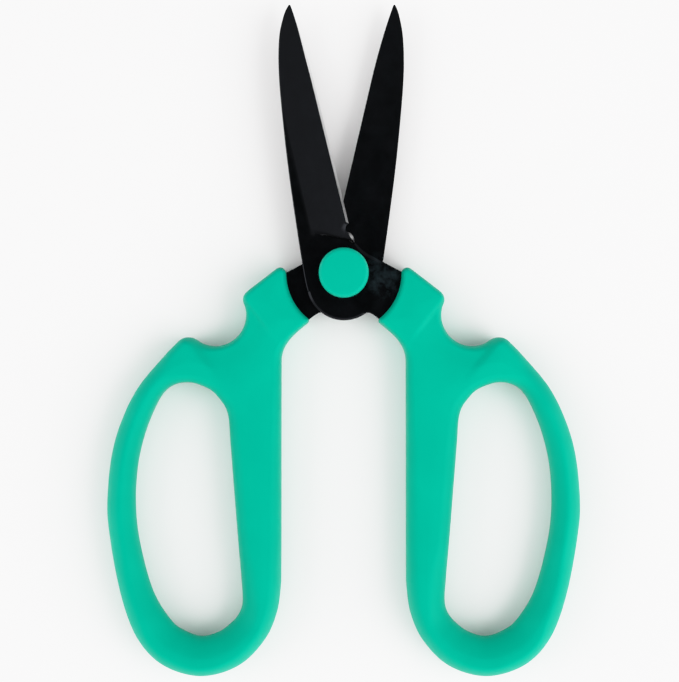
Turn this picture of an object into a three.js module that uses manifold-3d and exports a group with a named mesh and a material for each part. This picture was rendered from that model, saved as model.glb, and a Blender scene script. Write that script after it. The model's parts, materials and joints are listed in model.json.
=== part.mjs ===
// Floral snips: two crossing blades with moulded finger-loop handles, held by one pivot bolt.
//
// Millimetres, +Z up. The pivot's axis is the Z axis, the blades point to +Y, and the plane
// z = 0 is the one that the bolt head and the backs of both handles lie on. The snips are
// shown open. The upper blade crosses over the lower one and belongs to the right handle.

import * as THREE from 'three';
import { mergeVertices } from 'three/addons/utils/BufferGeometryUtils.js';
import Module from 'manifold-3d';

const wasm = await Module();
wasm.setup();

// How far each blade is turned from straight ahead, in degrees
const UPPER_BLADE_TURN = 13.8;
const LOWER_BLADE_TURN = 13.1;

// Heights of the pivot stack, from the resting plane up
const FACE_GAP = 0.05;
const HEAD_HEIGHT = 2.4;
const BLADE_THICKNESS = 2.8;
const LOWER_BLADE_Z = HEAD_HEIGHT + FACE_GAP;
const UPPER_BLADE_Z = LOWER_BLADE_Z + BLADE_THICKNESS + FACE_GAP;
const FLAT_WASHER_THICKNESS = 0.7;
const FLAT_WASHER_Z = UPPER_BLADE_Z + BLADE_THICKNESS + FACE_GAP;
const WAVE_SHEET = 0.3;
const WAVE_HEIGHT = 0.3;
const WAVE_WASHER_Z = FLAT_WASHER_Z + FLAT_WASHER_THICKNESS + FACE_GAP;
const NUT_THICKNESS = 2.6;
const NUT_Z = WAVE_WASHER_Z + WAVE_SHEET + WAVE_HEIGHT + FACE_GAP;

// Radii about the pivot
const HEAD_RADIUS = 5.2;
const HEAD_FACE_RADIUS = 4.6;
const SHOULDER_RADIUS = 3;
const KEY_HALF_WIDTH = 2.4;
const THREAD_RADIUS = 2.5;
const RUNNING_CLEARANCE = 0.1;
const FLAT_WASHER_RADIUS = 5;
const WAVE_WASHER_RADIUS = 4.7;
const NUT_ACROSS_FLATS = 8;
const CAP_RADIUS = 6;
const CAP_TOP_THICKNESS = 0.9;
const CAP_SKIRT_BORE = 5.2;
const THREAD_END_Z = NUT_Z + NUT_THICKNESS + 0.3;
const CAP_TOP_Z = THREAD_END_Z + 0.2 + CAP_TOP_THICKNESS;

// A blade in its own frame: the straight cutting edge is parallel to Y
const EDGE_X = 4.1;
const BLADE_LENGTH = 67.2;
const TIP_X = 2.75;
const STRAIGHT_EDGE_TOP = 45;
const STRAIGHT_EDGE_FOOT = 6.8;
const HUB_RADIUS = 9;
const HUB_CENTRE = [-0.5, -2.4];
const LOWER_SPINE_INSET = 0.5;
const RIDGE_X = -5.1;
const RIDGE_FOOT_Y = 10.6;
const GRIND_FOOT_Y = 7;
const BEVEL_WIDTH = 0.6;
const GROUND_EDGE_THICKNESS = 0.9;
const SHARP_EDGE_THICKNESS = 0.15;
const NOTCH_Y = 10.7;
const NOTCH_RADIUS = 1;

// Pegs of the handle moulding that pass through the tang, in the blade's frame
const PEG_CENTRES = [[14.3, -20], [12.6, -30]];
const PEG_RADIUS = 1.3;
const TANG_GAP = 0.3;

// A handle: both sides are one outline, mirrored
const HANDLE_THICKNESS = 2 * UPPER_BLADE_Z;
const LOOP_EDGE = 2.2;
const NECK_EDGE = 0.5;
const NECK_RADIUS = 14;
const NECK_TIP_RADIUS = 1.4;
const FINGER_REST_RADIUS = 7.6;
const FINGER_REST_CENTRE = [31.3, -10.1];
const INNER_EDGE_X = 15.2;

const ROUND_SIDES = 32;

const MATERIALS = {
  handle: { color: 0x00bfa0, roughness: 0.5, metalness: 0 },
  blade: { color: 0x111214, roughness: 0.45, metalness: 0.3 },
  steel: { color: 0x9a9c9e, roughness: 0.35, metalness: 1 },
};

function radians(degrees) {
  return THREE.MathUtils.degToRad(degrees);
}

function vectors(points) {
  return points.map(([x, y]) => new THREE.Vector2(x, y));
}

// ---- solids ----

function solid(geometry) {
  const bare = geometry.clone();
  bare.deleteAttribute('normal');
  bare.deleteAttribute('uv');
  const merged = mergeVertices(bare, 1e-5);
  return new wasm.Manifold(new wasm.Mesh({
    numProp: 3,
    vertProperties: new Float32Array(merged.attributes.position.array),
    triVerts: new Uint32Array(merged.index.array),
  }));
}

function geometryOf(body) {
  const mesh = body.getMesh();
  const geometry = new THREE.BufferGeometry();
  geometry.setAttribute('position', new THREE.BufferAttribute(mesh.vertProperties, 3));
  geometry.setIndex(new THREE.BufferAttribute(mesh.triVerts, 1));
  return geometry;
}

function namedMesh(name, geometry, finish) {
  geometry.computeVertexNormals();
  const mesh = new THREE.Mesh(geometry, new THREE.MeshStandardMaterial(MATERIALS[finish]));
  mesh.name = name;
  return mesh;
}

// A flat plate of the shape, from height z up
function plate(shape, z, thickness, curveSegments = 12) {
  const geometry = new THREE.ExtrudeGeometry(shape, {
    depth: thickness, bevelEnabled: false, curveSegments,
  });
  return geometry.translate(0, 0, z);
}

// A plate whose edges are rounded off by the given amount, inside its outline
function softPlate(shape, thickness, edge, curveSegments, bevelSegments) {
  const geometry = new THREE.ExtrudeGeometry(shape, {
    depth: thickness - 2 * edge, bevelEnabled: true, bevelThickness: edge,
    bevelSize: edge, bevelOffset: -edge, bevelSegments, curveSegments,
  });
  return geometry.translate(0, 0, edge);
}

// A solid turned about the Z axis from [radius, height] pairs
function turned(profile, sides = ROUND_SIDES) {
  return new THREE.LatheGeometry(vectors(profile), sides).rotateX(Math.PI / 2);
}

function roundShape(radius, x = 0, y = 0) {
  const shape = new THREE.Shape();
  shape.absarc(x, y, radius, 0, 2 * Math.PI);
  return shape;
}

function hexShape(acrossFlats) {
  const cornerRadius = acrossFlats / 2 / Math.cos(Math.PI / 6);
  const corners = [0, 1, 2, 3, 4, 5].map((i) => {
    const angle = i * Math.PI / 3;
    return new THREE.Vector2(cornerRadius * Math.cos(angle), cornerRadius * Math.sin(angle));
  });
  return new THREE.Shape(corners);
}

// A round with two parallel flats, which keeps the bolt from turning in the lower blade
function keyShape(clearance) {
  const radius = SHOULDER_RADIUS + clearance;
  const halfWidth = KEY_HALF_WIDTH + clearance;
  const corner = Math.asin(halfWidth / radius);
  const shape = new THREE.Shape();
  shape.absarc(0, 0, radius, -corner, corner);
  shape.absarc(0, 0, radius, Math.PI - corner, Math.PI + corner);
  shape.closePath();
  return shape;
}

// ---- blades, in the blade's own frame ----

// The part of the tang that the handle holds, grown by a gap all round for the handle's pocket
function tangShape(gap) {
  const shape = new THREE.Shape();
  shape.moveTo(2.5, -8 - gap);
  shape.lineTo(4.6 - gap, -11.5 - gap);
  shape.lineTo(9 - gap, -16.8 - gap);
  shape.quadraticCurveTo(11.2 - gap, -19.4, 10.9 - gap, -24);
  shape.lineTo(9.3 - gap, -34.5 - gap);
  shape.quadraticCurveTo(9.6 - gap, -37.5 - gap, 12, -37.5 - gap);
  shape.quadraticCurveTo(14.6 + gap, -37.5 - gap, 15 + gap, -34.5 - gap);
  shape.lineTo(17.6 + gap, -22);
  shape.quadraticCurveTo(18.8 + gap, -14, 16.6 + gap, -8 + gap);
  shape.lineTo(13.6 + gap, -2.9 + gap);
  shape.lineTo(6, 0);
  return shape;
}

// Tip, spine, hub, shoulder of the tang and cutting edge. The inset narrows it at the spine.
function bladeShape(inset) {
  const shape = new THREE.Shape();
  shape.moveTo(TIP_X, BLADE_LENGTH);
  shape.splineThru(vectors([
    [1 + inset / 2, 64.8], [-1.5 + inset, 59.6], [-3.5 + inset, 52], [-5.1 + inset, 42.5],
    [-7 + inset, 28], [-8.5 + inset, 13], [-9.4 + inset, 2],
  ]));
  shape.lineTo(HUB_CENTRE[0] - HUB_RADIUS + inset, HUB_CENTRE[1]);
  shape.absarc(HUB_CENTRE[0] + inset / 2, HUB_CENTRE[1], HUB_RADIUS - inset / 2, Math.PI, radians(295));
  shape.lineTo(9, -6);
  shape.lineTo(13.6, -2.9);
  shape.lineTo(7.8, 2.25);
  shape.quadraticCurveTo(5.4, 4.2, EDGE_X + 0.3, STRAIGHT_EDGE_FOOT);
  shape.lineTo(EDGE_X, STRAIGHT_EDGE_FOOT + 1);
  shape.lineTo(EDGE_X, STRAIGHT_EDGE_TOP);
  shape.quadraticCurveTo(EDGE_X - 0.1, 57, TIP_X, BLADE_LENGTH);
  return shape;
}

// What the grinding wheel takes off one face: a slope from the ridge down to the cutting
// edge, a steeper bevel along the edge, and a slanting end towards the hub
function grindCutter() {
  const reach = EDGE_X + 3;
  const above = BLADE_THICKNESS + 1;
  const section = new THREE.Shape(vectors([
    [RIDGE_X, BLADE_THICKNESS],
    [EDGE_X - BEVEL_WIDTH, GROUND_EDGE_THICKNESS],
    [EDGE_X, SHARP_EDGE_THICKNESS],
    [reach, SHARP_EDGE_THICKNESS],
    [reach, above],
    [RIDGE_X, above],
  ]));
  const slope = plate(section, -BLADE_LENGTH - 5, BLADE_LENGTH + 5).rotateX(Math.PI / 2);
  const footRise = (RIDGE_FOOT_Y - GRIND_FOOT_Y) / (EDGE_X - RIDGE_X);
  const footAt = (x) => RIDGE_FOOT_Y - footRise * (x - RIDGE_X);
  const plan = new THREE.Shape(vectors([
    [RIDGE_X - 1, footAt(RIDGE_X - 1)],
    [reach + 1, footAt(reach + 1)],
    [reach + 1, BLADE_LENGTH + 3],
    [RIDGE_X - 1, BLADE_LENGTH + 3],
  ]));
  return solid(slope).intersect(solid(plate(plan, -1, above + 2)));
}

function blade(pivotHole, spineInset) {
  const depth = BLADE_THICKNESS;
  const tang = solid(plate(tangShape(0), 0, depth, 4));
  let body = solid(plate(bladeShape(spineInset), 0, depth, 6)).add(tang);
  body = body.subtract(grindCutter());
  body = body.subtract(solid(plate(pivotHole, -1, depth + 2, ROUND_SIDES / 4)));
  for (const [x, y] of PEG_CENTRES) {
    const hole = roundShape(PEG_RADIUS + TANG_GAP, x, y);
    body = body.subtract(solid(plate(hole, -1, depth + 2, 8)));
  }
  return body;
}

// The upper blade turns on the bolt's shoulder and carries the small wire-cutting notch
function upperBlade() {
  const notch = roundShape(NOTCH_RADIUS, EDGE_X + 0.1, NOTCH_Y);
  const body = blade(roundShape(SHOULDER_RADIUS + RUNNING_CLEARANCE), 0);
  return geometryOf(body.subtract(solid(plate(notch, -1, BLADE_THICKNESS + 2, 6))));
}

function lowerBlade() {
  return geometryOf(blade(keyShape(RUNNING_CLEARANCE), LOWER_SPINE_INSET));
}

// ---- handles, drawn for the right-hand side ----

// The finger loop, with its hole
function loopShape() {
  const shape = new THREE.Shape();
  shape.moveTo(INNER_EDGE_X, -26);
  shape.lineTo(INNER_EDGE_X, -75);
  shape.splineThru(vectors([
    [16.2, -82.4], [19.3, -89.4], [25.6, -95.6], [34.6, -98.2], [43.7, -95.7], [50, -89.5],
    [54, -79.6], [56.9, -65], [57.6, -54.5], [55.7, -40.6], [50.4, -28.4], [42.6, -19],
  ]));
  shape.bezierCurveTo(40.5, -17, 37, -17.6, 34, -18.6);
  shape.bezierCurveTo(26, -20.5, 15.6, -16, INNER_EDGE_X, -26);
  const hole = new THREE.Path();
  hole.moveTo(29.6, -31.2);
  hole.splineThru(vectors([
    [32.5, -28.2], [38, -26.5], [43.4, -28.5], [47.3, -35.7], [50, -45.5], [50.7, -55.5], [49.8, -65],
    [46.6, -77], [42.2, -84.4], [38.5, -87.2], [34.3, -88.4], [29.8, -87], [26.6, -84.4],
  ]));
  hole.bezierCurveTo(24.6, -82, 24.5, -80.5, 24.7, -77.5);
  hole.lineTo(27.6, -40.5);
  hole.bezierCurveTo(27.8, -36, 27.8, -33.4, 29.6, -31.2);
  shape.holes.push(hole);
  return shape;
}

// The neck, which wraps the hub, and the horn, with the finger rest between them
function neckShape() {
  const shape = new THREE.Shape();
  shape.moveTo(INNER_EDGE_X + 0.05, -28);
  shape.lineTo(INNER_EDGE_X, -21.5);
  shape.bezierCurveTo(INNER_EDGE_X, -17.9, 13.1, -15.7, 10.5, -13.5);
  shape.absarc(0, 0, NECK_RADIUS, radians(-55.3), radians(0), false);
  shape.absarc(NECK_RADIUS + NECK_TIP_RADIUS, 0, NECK_TIP_RADIUS, radians(180), radians(52), true);
  shape.lineTo(23.1, -4.15);
  shape.quadraticCurveTo(25.3, -5.8, 24, -8);
  shape.absarc(...FINGER_REST_CENTRE, FINGER_REST_RADIUS, radians(174), radians(299), false);
  shape.quadraticCurveTo(38, -14.4, 40.2, -16.6);
  shape.lineTo(42.6, -19);
  shape.quadraticCurveTo(42, -23, 36, -24);
  shape.quadraticCurveTo(29, -25, 26, -32);
  shape.quadraticCurveTo(18, -34, INNER_EDGE_X + 0.05, -28);
  return shape;
}

// The tang's pocket opens at the neck, and pegs of the moulding cross it
function handle(pocketZ, turn) {
  const pocketHeight = BLADE_THICKNESS + 2 * FACE_GAP;
  const loop = softPlate(loopShape(), HANDLE_THICKNESS, LOOP_EDGE, 6, 2);
  const neck = softPlate(neckShape(), HANDLE_THICKNESS, NECK_EDGE, 6, 1);
  const pocket = plate(tangShape(TANG_GAP), pocketZ - FACE_GAP, pocketHeight, 4);
  let body = solid(loop).add(solid(neck)).subtract(solid(pocket.rotateZ(radians(turn))));
  for (const [x, y] of PEG_CENTRES) {
    const peg = plate(roundShape(PEG_RADIUS, x, y), 1, HANDLE_THICKNESS - 2, 8);
    body = body.add(solid(peg.rotateZ(radians(turn))));
  }
  return body;
}

function rightHandle() {
  return geometryOf(handle(UPPER_BLADE_Z, UPPER_BLADE_TURN));
}

function leftHandle() {
  const pocketZ = HANDLE_THICKNESS - LOWER_BLADE_Z - BLADE_THICKNESS;
  return geometryOf(handle(pocketZ, LOWER_BLADE_TURN));
}

// ---- pivot hardware ----

function pivotBolt() {
  const head = turned([
    [0, 0], [HEAD_FACE_RADIUS, 0], [HEAD_RADIUS, 0.6], [HEAD_RADIUS, HEAD_HEIGHT], [0, HEAD_HEIGHT],
  ]);
  const keyFoot = HEAD_HEIGHT - 0.2;
  const key = plate(keyShape(0), keyFoot, UPPER_BLADE_Z - keyFoot, 8);
  key.rotateZ(-radians(LOWER_BLADE_TURN));
  const shoulderFoot = UPPER_BLADE_Z - FACE_GAP / 2;
  const shoulderTop = FLAT_WASHER_Z - FACE_GAP;
  const shank = turned([
    [0, shoulderFoot], [SHOULDER_RADIUS, shoulderFoot], [SHOULDER_RADIUS, shoulderTop],
    [THREAD_RADIUS, shoulderTop], [THREAD_RADIUS, THREAD_END_Z - 0.4],
    [THREAD_RADIUS - 0.4, THREAD_END_Z], [0, THREAD_END_Z],
  ]);
  return geometryOf(solid(head).add(solid(key)).add(solid(shank)));
}

function flatWasher() {
  const ring = roundShape(FLAT_WASHER_RADIUS);
  ring.holes.push(roundShape(THREAD_RADIUS + 2 * RUNNING_CLEARANCE));
  return plate(ring, FLAT_WASHER_Z, FLAT_WASHER_THICKNESS, ROUND_SIDES / 2);
}

// A thin ring bent into three waves, which keeps the blades pressed together
function waveWasher() {
  const ring = roundShape(WAVE_WASHER_RADIUS);
  ring.holes.push(roundShape(THREAD_RADIUS + 2 * RUNNING_CLEARANCE));
  const geometry = plate(ring, WAVE_WASHER_Z, WAVE_SHEET, 24);
  const position = geometry.attributes.position;
  for (let i = 0; i < position.count; i += 1) {
    const angle = Math.atan2(position.getY(i), position.getX(i));
    const lift = WAVE_HEIGHT * (1 + Math.cos(3 * angle)) / 2;
    position.setZ(i, position.getZ(i) + lift);
  }
  return geometry;
}

function pivotNut() {
  const hex = hexShape(NUT_ACROSS_FLATS);
  hex.holes.push(roundShape(THREAD_RADIUS + RUNNING_CLEARANCE));
  const prism = solid(plate(hex, NUT_Z, NUT_THICKNESS, 12));
  const cornerRadius = NUT_ACROSS_FLATS / 2 / Math.cos(Math.PI / 6);
  const flatRadius = NUT_ACROSS_FLATS / 2 - 0.1;
  const chamfer = 0.35;
  const top = NUT_Z + NUT_THICKNESS;
  const envelope = turned([
    [0, NUT_Z], [flatRadius, NUT_Z], [cornerRadius, NUT_Z + chamfer],
    [cornerRadius, top - chamfer], [flatRadius, top], [0, top],
  ], 36);
  return geometryOf(prism.intersect(solid(envelope)));
}

// A push-on cup: a hexagonal socket grips the nut, and the skirt covers the washers
function pivotCap() {
  const foot = FLAT_WASHER_Z + 0.1;
  const rim = 0.8;
  const ceiling = CAP_TOP_Z - CAP_TOP_THICKNESS;
  const outer = turned([
    [0, foot], [CAP_RADIUS, foot], [CAP_RADIUS, CAP_TOP_Z - rim],
    [CAP_RADIUS - 0.25 * rim, CAP_TOP_Z - 0.3 * rim], [CAP_RADIUS - rim, CAP_TOP_Z], [0, CAP_TOP_Z],
  ], 48);
  const socket = plate(hexShape(NUT_ACROSS_FLATS + 0.3), foot - 1, ceiling - foot + 1);
  const skirtBore = plate(roundShape(CAP_SKIRT_BORE), foot - 1, NUT_Z - foot + 1.4, 24);
  return geometryOf(solid(outer).subtract(solid(socket)).subtract(solid(skirtBore)));
}

// ---- assembly ----

// The upper blade and the right handle swing together about the pivot
function rightHalf() {
  const half = new THREE.Group();
  const upper = namedMesh('upper_blade', upperBlade(), 'blade');
  upper.position.z = UPPER_BLADE_Z;
  upper.rotation.z = radians(UPPER_BLADE_TURN);
  half.add(upper, namedMesh('right_handle', rightHandle(), 'handle'));
  return half;
}

// The left half is drawn like the right one and turned over about the Y axis
function leftHalf() {
  const half = new THREE.Group();
  const lower = namedMesh('lower_blade', lowerBlade(), 'blade');
  lower.position.z = HANDLE_THICKNESS - LOWER_BLADE_Z - BLADE_THICKNESS;
  lower.rotation.z = radians(LOWER_BLADE_TURN);
  half.add(lower, namedMesh('left_handle', leftHandle(), 'handle'));
  half.rotation.y = Math.PI;
  half.position.z = HANDLE_THICKNESS;
  return half;
}

function pivotHardware() {
  const hardware = new THREE.Group();
  hardware.add(
    namedMesh('pivot_bolt', pivotBolt(), 'steel'),
    namedMesh('flat_washer', flatWasher(), 'steel'),
    namedMesh('wave_washer', waveWasher(), 'steel'),
    namedMesh('pivot_nut', pivotNut(), 'steel'),
    namedMesh('pivot_cap', pivotCap(), 'handle'),
  );
  return hardware;
}

const snips = new THREE.Group();
snips.add(rightHalf(), leftHalf(), pivotHardware());

export default snips;
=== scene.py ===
"""Floral snips: the detailed surfaces and materials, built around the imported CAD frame.

Sizes below are in millimetres, in the CAD frame: the origin is on the pivot axis in the plane that the
snips rest on, +Y runs towards the blade tips and +Z towards the cap. Meshes are scaled to metres when made.
"""
import json
import math

import bpy
import numpy as np
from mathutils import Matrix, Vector
from mathutils.geometry import delaunay_2d_cdt


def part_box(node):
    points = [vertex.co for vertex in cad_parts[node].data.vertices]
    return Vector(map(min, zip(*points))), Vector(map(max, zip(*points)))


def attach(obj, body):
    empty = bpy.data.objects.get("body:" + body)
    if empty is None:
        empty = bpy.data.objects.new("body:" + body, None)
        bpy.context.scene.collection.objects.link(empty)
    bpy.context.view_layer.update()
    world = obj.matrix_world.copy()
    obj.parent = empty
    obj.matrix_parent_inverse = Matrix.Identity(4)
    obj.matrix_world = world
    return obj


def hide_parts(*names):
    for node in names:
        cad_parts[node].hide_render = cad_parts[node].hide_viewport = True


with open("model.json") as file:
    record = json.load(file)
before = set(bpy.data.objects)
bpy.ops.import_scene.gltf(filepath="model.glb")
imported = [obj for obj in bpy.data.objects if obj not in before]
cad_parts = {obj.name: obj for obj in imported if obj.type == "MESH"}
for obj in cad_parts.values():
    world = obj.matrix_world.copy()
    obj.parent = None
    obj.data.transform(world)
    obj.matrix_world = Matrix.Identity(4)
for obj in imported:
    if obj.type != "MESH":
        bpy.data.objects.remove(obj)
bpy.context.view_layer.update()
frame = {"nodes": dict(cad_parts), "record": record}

MM = 0.001

# ---- places and sizes that the CAD gives ----

BLADE_TURN = {"upper_blade": 13.8, "lower_blade": 13.1}
BLADE_THICKNESS = 2.8
EDGE_X = 4.1
TIP_Y = 66.8
TIP_X = 2.75
EDGE_TOP_Y = 45.0
EDGE_FOOT_Y = 6.8
HUB_CENTRE = (-0.5, -2.4)
HUB_RADIUS = 9.0
NOTCH_FOOT = (3.15, 9.75)
NOTCH_TOP_Y = 11.6
NECK_RADIUS = 14.0
NECK_TIP_RADIUS = 1.4
FINGER_REST_CENTRE = (31.3, -10.1)
FINGER_REST_RADIUS = 7.6
INNER_EDGE_X = 15.2


def node_range_mm(node, axis):
    """A CAD node's lowest and highest coordinate on one axis, in millimetres."""
    low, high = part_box(node)
    return low[axis] / MM, high[axis] / MM


HANDLE_FOOT_Z, HANDLE_TOP_Z = node_range_mm("right_handle", 2)
HANDLE_MID_Z = (HANDLE_FOOT_Z + HANDLE_TOP_Z) / 2
HANDLE_HALF = (HANDLE_TOP_Z - HANDLE_FOOT_Z) / 2
CAP_FOOT_Z, CAP_TOP_Z = node_range_mm("pivot_cap", 2)
CAP_RADIUS = node_range_mm("pivot_cap", 0)[1]


# ---- camera: straight above, as far off as a hand-held camera ----

CAMERA_HEIGHT = 450.0
VIEW_WIDTH = 165.7
VIEW_CENTRE = (-1.02, -16.47)
SENSOR_WIDTH = 36.0


def add_camera():
    data = bpy.data.cameras.new("camera")
    data.sensor_fit = "HORIZONTAL"
    data.sensor_width = SENSOR_WIDTH
    data.lens = SENSOR_WIDTH * CAMERA_HEIGHT / VIEW_WIDTH
    data.clip_start = 0.01
    camera = bpy.data.objects.new("camera", data)
    height = HANDLE_MID_Z + CAMERA_HEIGHT
    camera.location = (VIEW_CENTRE[0] * MM, VIEW_CENTRE[1] * MM, height * MM)
    bpy.context.collection.objects.link(camera)
    bpy.context.scene.camera = camera


add_camera()


# ---- curves in the plane ----


def segment(start, end, spacing=0.5):
    """Points from start up to, but not including, end."""
    start, end = np.array(start, float), np.array(end, float)
    count = max(1, int(np.hypot(*(end - start)) / spacing))
    return start + np.arange(count)[:, None] / count * (end - start)


def bezier(points, count=14):
    """A quadratic or cubic curve, without its last point."""
    points = np.array(points, float)
    t = np.arange(count)[:, None] / count
    while len(points) > 1:
        points = [a + (b - a) * t for a, b in zip(points[:-1], points[1:])]
    return points[0]


def arc(centre, radius, start, end, spacing=0.4):
    """Points on a circle between two angles in degrees, without the last one."""
    count = max(3, int(abs(math.radians(end - start)) * radius / spacing))
    angle = np.radians(start + np.arange(count) / count * (end - start))
    return np.column_stack((centre[0] + radius * np.cos(angle), centre[1] + radius * np.sin(angle)))


def spline(points, spacing=0.6):
    """A curve through all the points, without the last one."""
    points = np.array(points, float)
    padded = np.vstack((points[0], points, points[-1]))
    parts = []
    for a, b, c, d in zip(padded[:-3], padded[1:-2], padded[2:-1], padded[3:]):
        count = max(2, int(np.hypot(*(c - b)) / spacing))
        t = np.arange(count)[:, None] / count
        tangent_b, tangent_c = (c - a) / 2, (d - b) / 2
        parts.append((2 * t**3 - 3 * t**2 + 1) * b + (t**3 - 2 * t**2 + t) * tangent_b
                     + (3 * t**2 - 2 * t**3) * c + (t**3 - t**2) * tangent_c)
    return np.vstack(parts)


def on_circle(centre, radius, angle):
    angle = math.radians(angle)
    return (centre[0] + radius * math.cos(angle), centre[1] + radius * math.sin(angle))


def signed_distance(outline, x, y):
    """Distance from points to a closed outline, negative inside it."""
    nearest = np.full(x.shape, 1e9)
    inside = np.zeros(x.shape, bool)
    for (ax, ay), (bx, by) in zip(outline, np.roll(outline, -1, axis=0)):
        dx, dy = bx - ax, by - ay
        along = np.clip(((x - ax) * dx + (y - ay) * dy) / (dx * dx + dy * dy + 1e-12), 0, 1)
        nearest = np.minimum(nearest, (x - ax - along * dx) ** 2 + (y - ay - along * dy) ** 2)
        if ay != by:
            crosses = (ay > y) != (by > y)
            inside ^= crosses & (x < ax + (y - ay) * dx / dy)
    return np.where(inside, -1, 1) * np.sqrt(nearest)


def smoothstep(low, high, value):
    t = np.clip((value - low) / (high - low), 0, 1)
    return t * t * (3 - 2 * t)


# ---- handles: moulded surfaces, drawn for the right-hand side ----

BAR_TOP = (INNER_EDGE_X, -21.5)
HORN_FOOT = (40.2, -16.6)
FINGER_REST_ARC = (299, 174)
NECK_SIDE_FOOT = (24, -8)
NECK_SIDE_TOP = (23.1, -4.15)
NECK_TIP_ARC = (52, 180)
NECK_ARC = (0, -53)
NECK_CORNER = (8.3, -11.8)
NECK_CORNER_FOOT = (9.1, -12.35)
NECK_BEND = (10.5, -13.5)
LOOP_POINTS = [
    (15.2, -75), (16.2, -82.4), (19.3, -89.4), (25.6, -95.6), (34.6, -98.2), (43.7, -95.7), (50, -89.5),
    (54, -79.6), (56.9, -65), (57.6, -54.5), (55.7, -40.6), (50.4, -28.4), (42.6, -19),
]
HOLE_POINTS = [
    (29.6, -31.2), (32.5, -28.2), (38, -26.5), (43.4, -28.5), (47.3, -35.7), (50, -45.5), (50.7, -55.5),
    (49.8, -65), (46.6, -77), (42.2, -84.4), (38.5, -87.2), (34.3, -88.4), (29.8, -87), (26.6, -84.4),
]
HOLE_BAR_FOOT = (24.7, -77.5)
HOLE_BAR_TOP = (27.6, -40.5)

# Where the edge rounding was judged: x, y, width of the roll-off at the outer edge and at the hole
SOFTNESS = [
    (16, -3, 1.0, 2.0), (24, -8, 1.2, 2.0), (11, -14, 1.0, 2.0), (16, -22, 2.0, 2.2), (28, -20, 1.4, 2.2),
    (39, -17, 2.0, 2.4), (47, -25, 3.2, 3.0), (54, -42, 4.2, 4.2), (54, -62, 4.2, 4.6), (50, -80, 3.6, 5.8),
    (43, -91, 2.8, 7.4), (34, -94, 2.6, 8.0), (24, -90, 2.8, 6.6), (18, -78, 3.0, 4.4), (20, -60, 3.0, 3.2),
    (21, -45, 2.8, 3.2), (22, -33, 2.4, 2.8), (36, -24, 2.2, 2.2),
]
SITE_REACH = 3
CROWN_DROP = 0.4
CROWN_REACH = 6.0
SCOOP_DEPTH = 0.85
SCOOP_REACH = 10.5
SCOOP_STEP = 0.6
SCOOP_TOP_STEP = 1.15
SCOOP_TOP_CREASE = ((36.6, -17.2), (29.5, -26.1))
SCOOP_NECK_CREASE = ((22.9, -8.0), (19.0, -12.9))
ROLL_DEPTH = 1.1
LEAST_FLAT_WALL = 0.05
FLARE_POWER = 1.75
FLARE_SPAN = (68.0, 86.0)
MAP_STEP = 0.25
MAP_LOW = np.array((5.5, -101.0))
MAP_HIGH = np.array((60.5, 4.5))
MOULD_CELL = 0.36


def handle_outline():
    neck_centre = (NECK_RADIUS + NECK_TIP_RADIUS, 0)
    rest_start, rest_end = (on_circle(FINGER_REST_CENTRE, FINGER_REST_RADIUS, a) for a in FINGER_REST_ARC)
    return np.vstack((
        segment(BAR_TOP, LOOP_POINTS[0]),
        spline(LOOP_POINTS),
        segment(LOOP_POINTS[-1], HORN_FOOT),
        bezier([HORN_FOOT, (38, -14.4), rest_start]),
        arc(FINGER_REST_CENTRE, FINGER_REST_RADIUS, *FINGER_REST_ARC),
        segment(rest_end, NECK_SIDE_FOOT),
        bezier([NECK_SIDE_FOOT, (25.3, -5.8), NECK_SIDE_TOP]),
        segment(NECK_SIDE_TOP, on_circle(neck_centre, NECK_TIP_RADIUS, NECK_TIP_ARC[0])),
        arc(neck_centre, NECK_TIP_RADIUS, *NECK_TIP_ARC, spacing=0.2),
        arc((0, 0), NECK_RADIUS, *NECK_ARC),
        bezier([on_circle((0, 0), NECK_RADIUS, NECK_ARC[1]), NECK_CORNER, NECK_CORNER_FOOT], 8),
        segment(NECK_CORNER_FOOT, NECK_BEND),
        bezier([NECK_BEND, (13.1, -15.7), (INNER_EDGE_X, -17.9), BAR_TOP]),
    ))


def hole_outline():
    return np.vstack((
        spline(HOLE_POINTS),
        bezier([HOLE_POINTS[-1], (24.6, -82), (24.5, -80.5), HOLE_BAR_FOOT]),
        segment(HOLE_BAR_FOOT, HOLE_BAR_TOP),
        bezier([HOLE_BAR_TOP, (27.8, -36), (27.8, -33.4), HOLE_POINTS[0]]),
    ))


def blurred(field, passes=2):
    """Softens the creases of a distance map."""
    for _ in range(passes):
        for axis in (0, 1):
            before = np.take(field, np.r_[0, 0:field.shape[axis] - 1], axis)
            after = np.take(field, np.r_[1:field.shape[axis], field.shape[axis] - 1], axis)
            field = (before + 2 * field + after) / 4
    return field


def side_of(line, x, y):
    """Distance from a line, positive on its left."""
    (ax, ay), (bx, by) = line
    length = math.hypot(bx - ax, by - ay)
    return ((bx - ax) * (y - ay) - (by - ay) * (x - ax)) / length


def scoop_depth(x, y):
    """How deep the index finger's rest is pressed into the face."""
    away = np.hypot(x - FINGER_REST_CENTRE[0], y - FINGER_REST_CENTRE[1]) - FINGER_REST_RADIUS
    fade = 1 - smoothstep(0.5, SCOOP_REACH, away)
    below_neck = smoothstep(-SCOOP_STEP, SCOOP_STEP, side_of(SCOOP_NECK_CREASE, x, y))
    beside_loop = smoothstep(-SCOOP_TOP_STEP, SCOOP_TOP_STEP, -side_of(SCOOP_TOP_CREASE, x, y))
    return SCOOP_DEPTH * fade * below_neck * beside_loop


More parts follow.
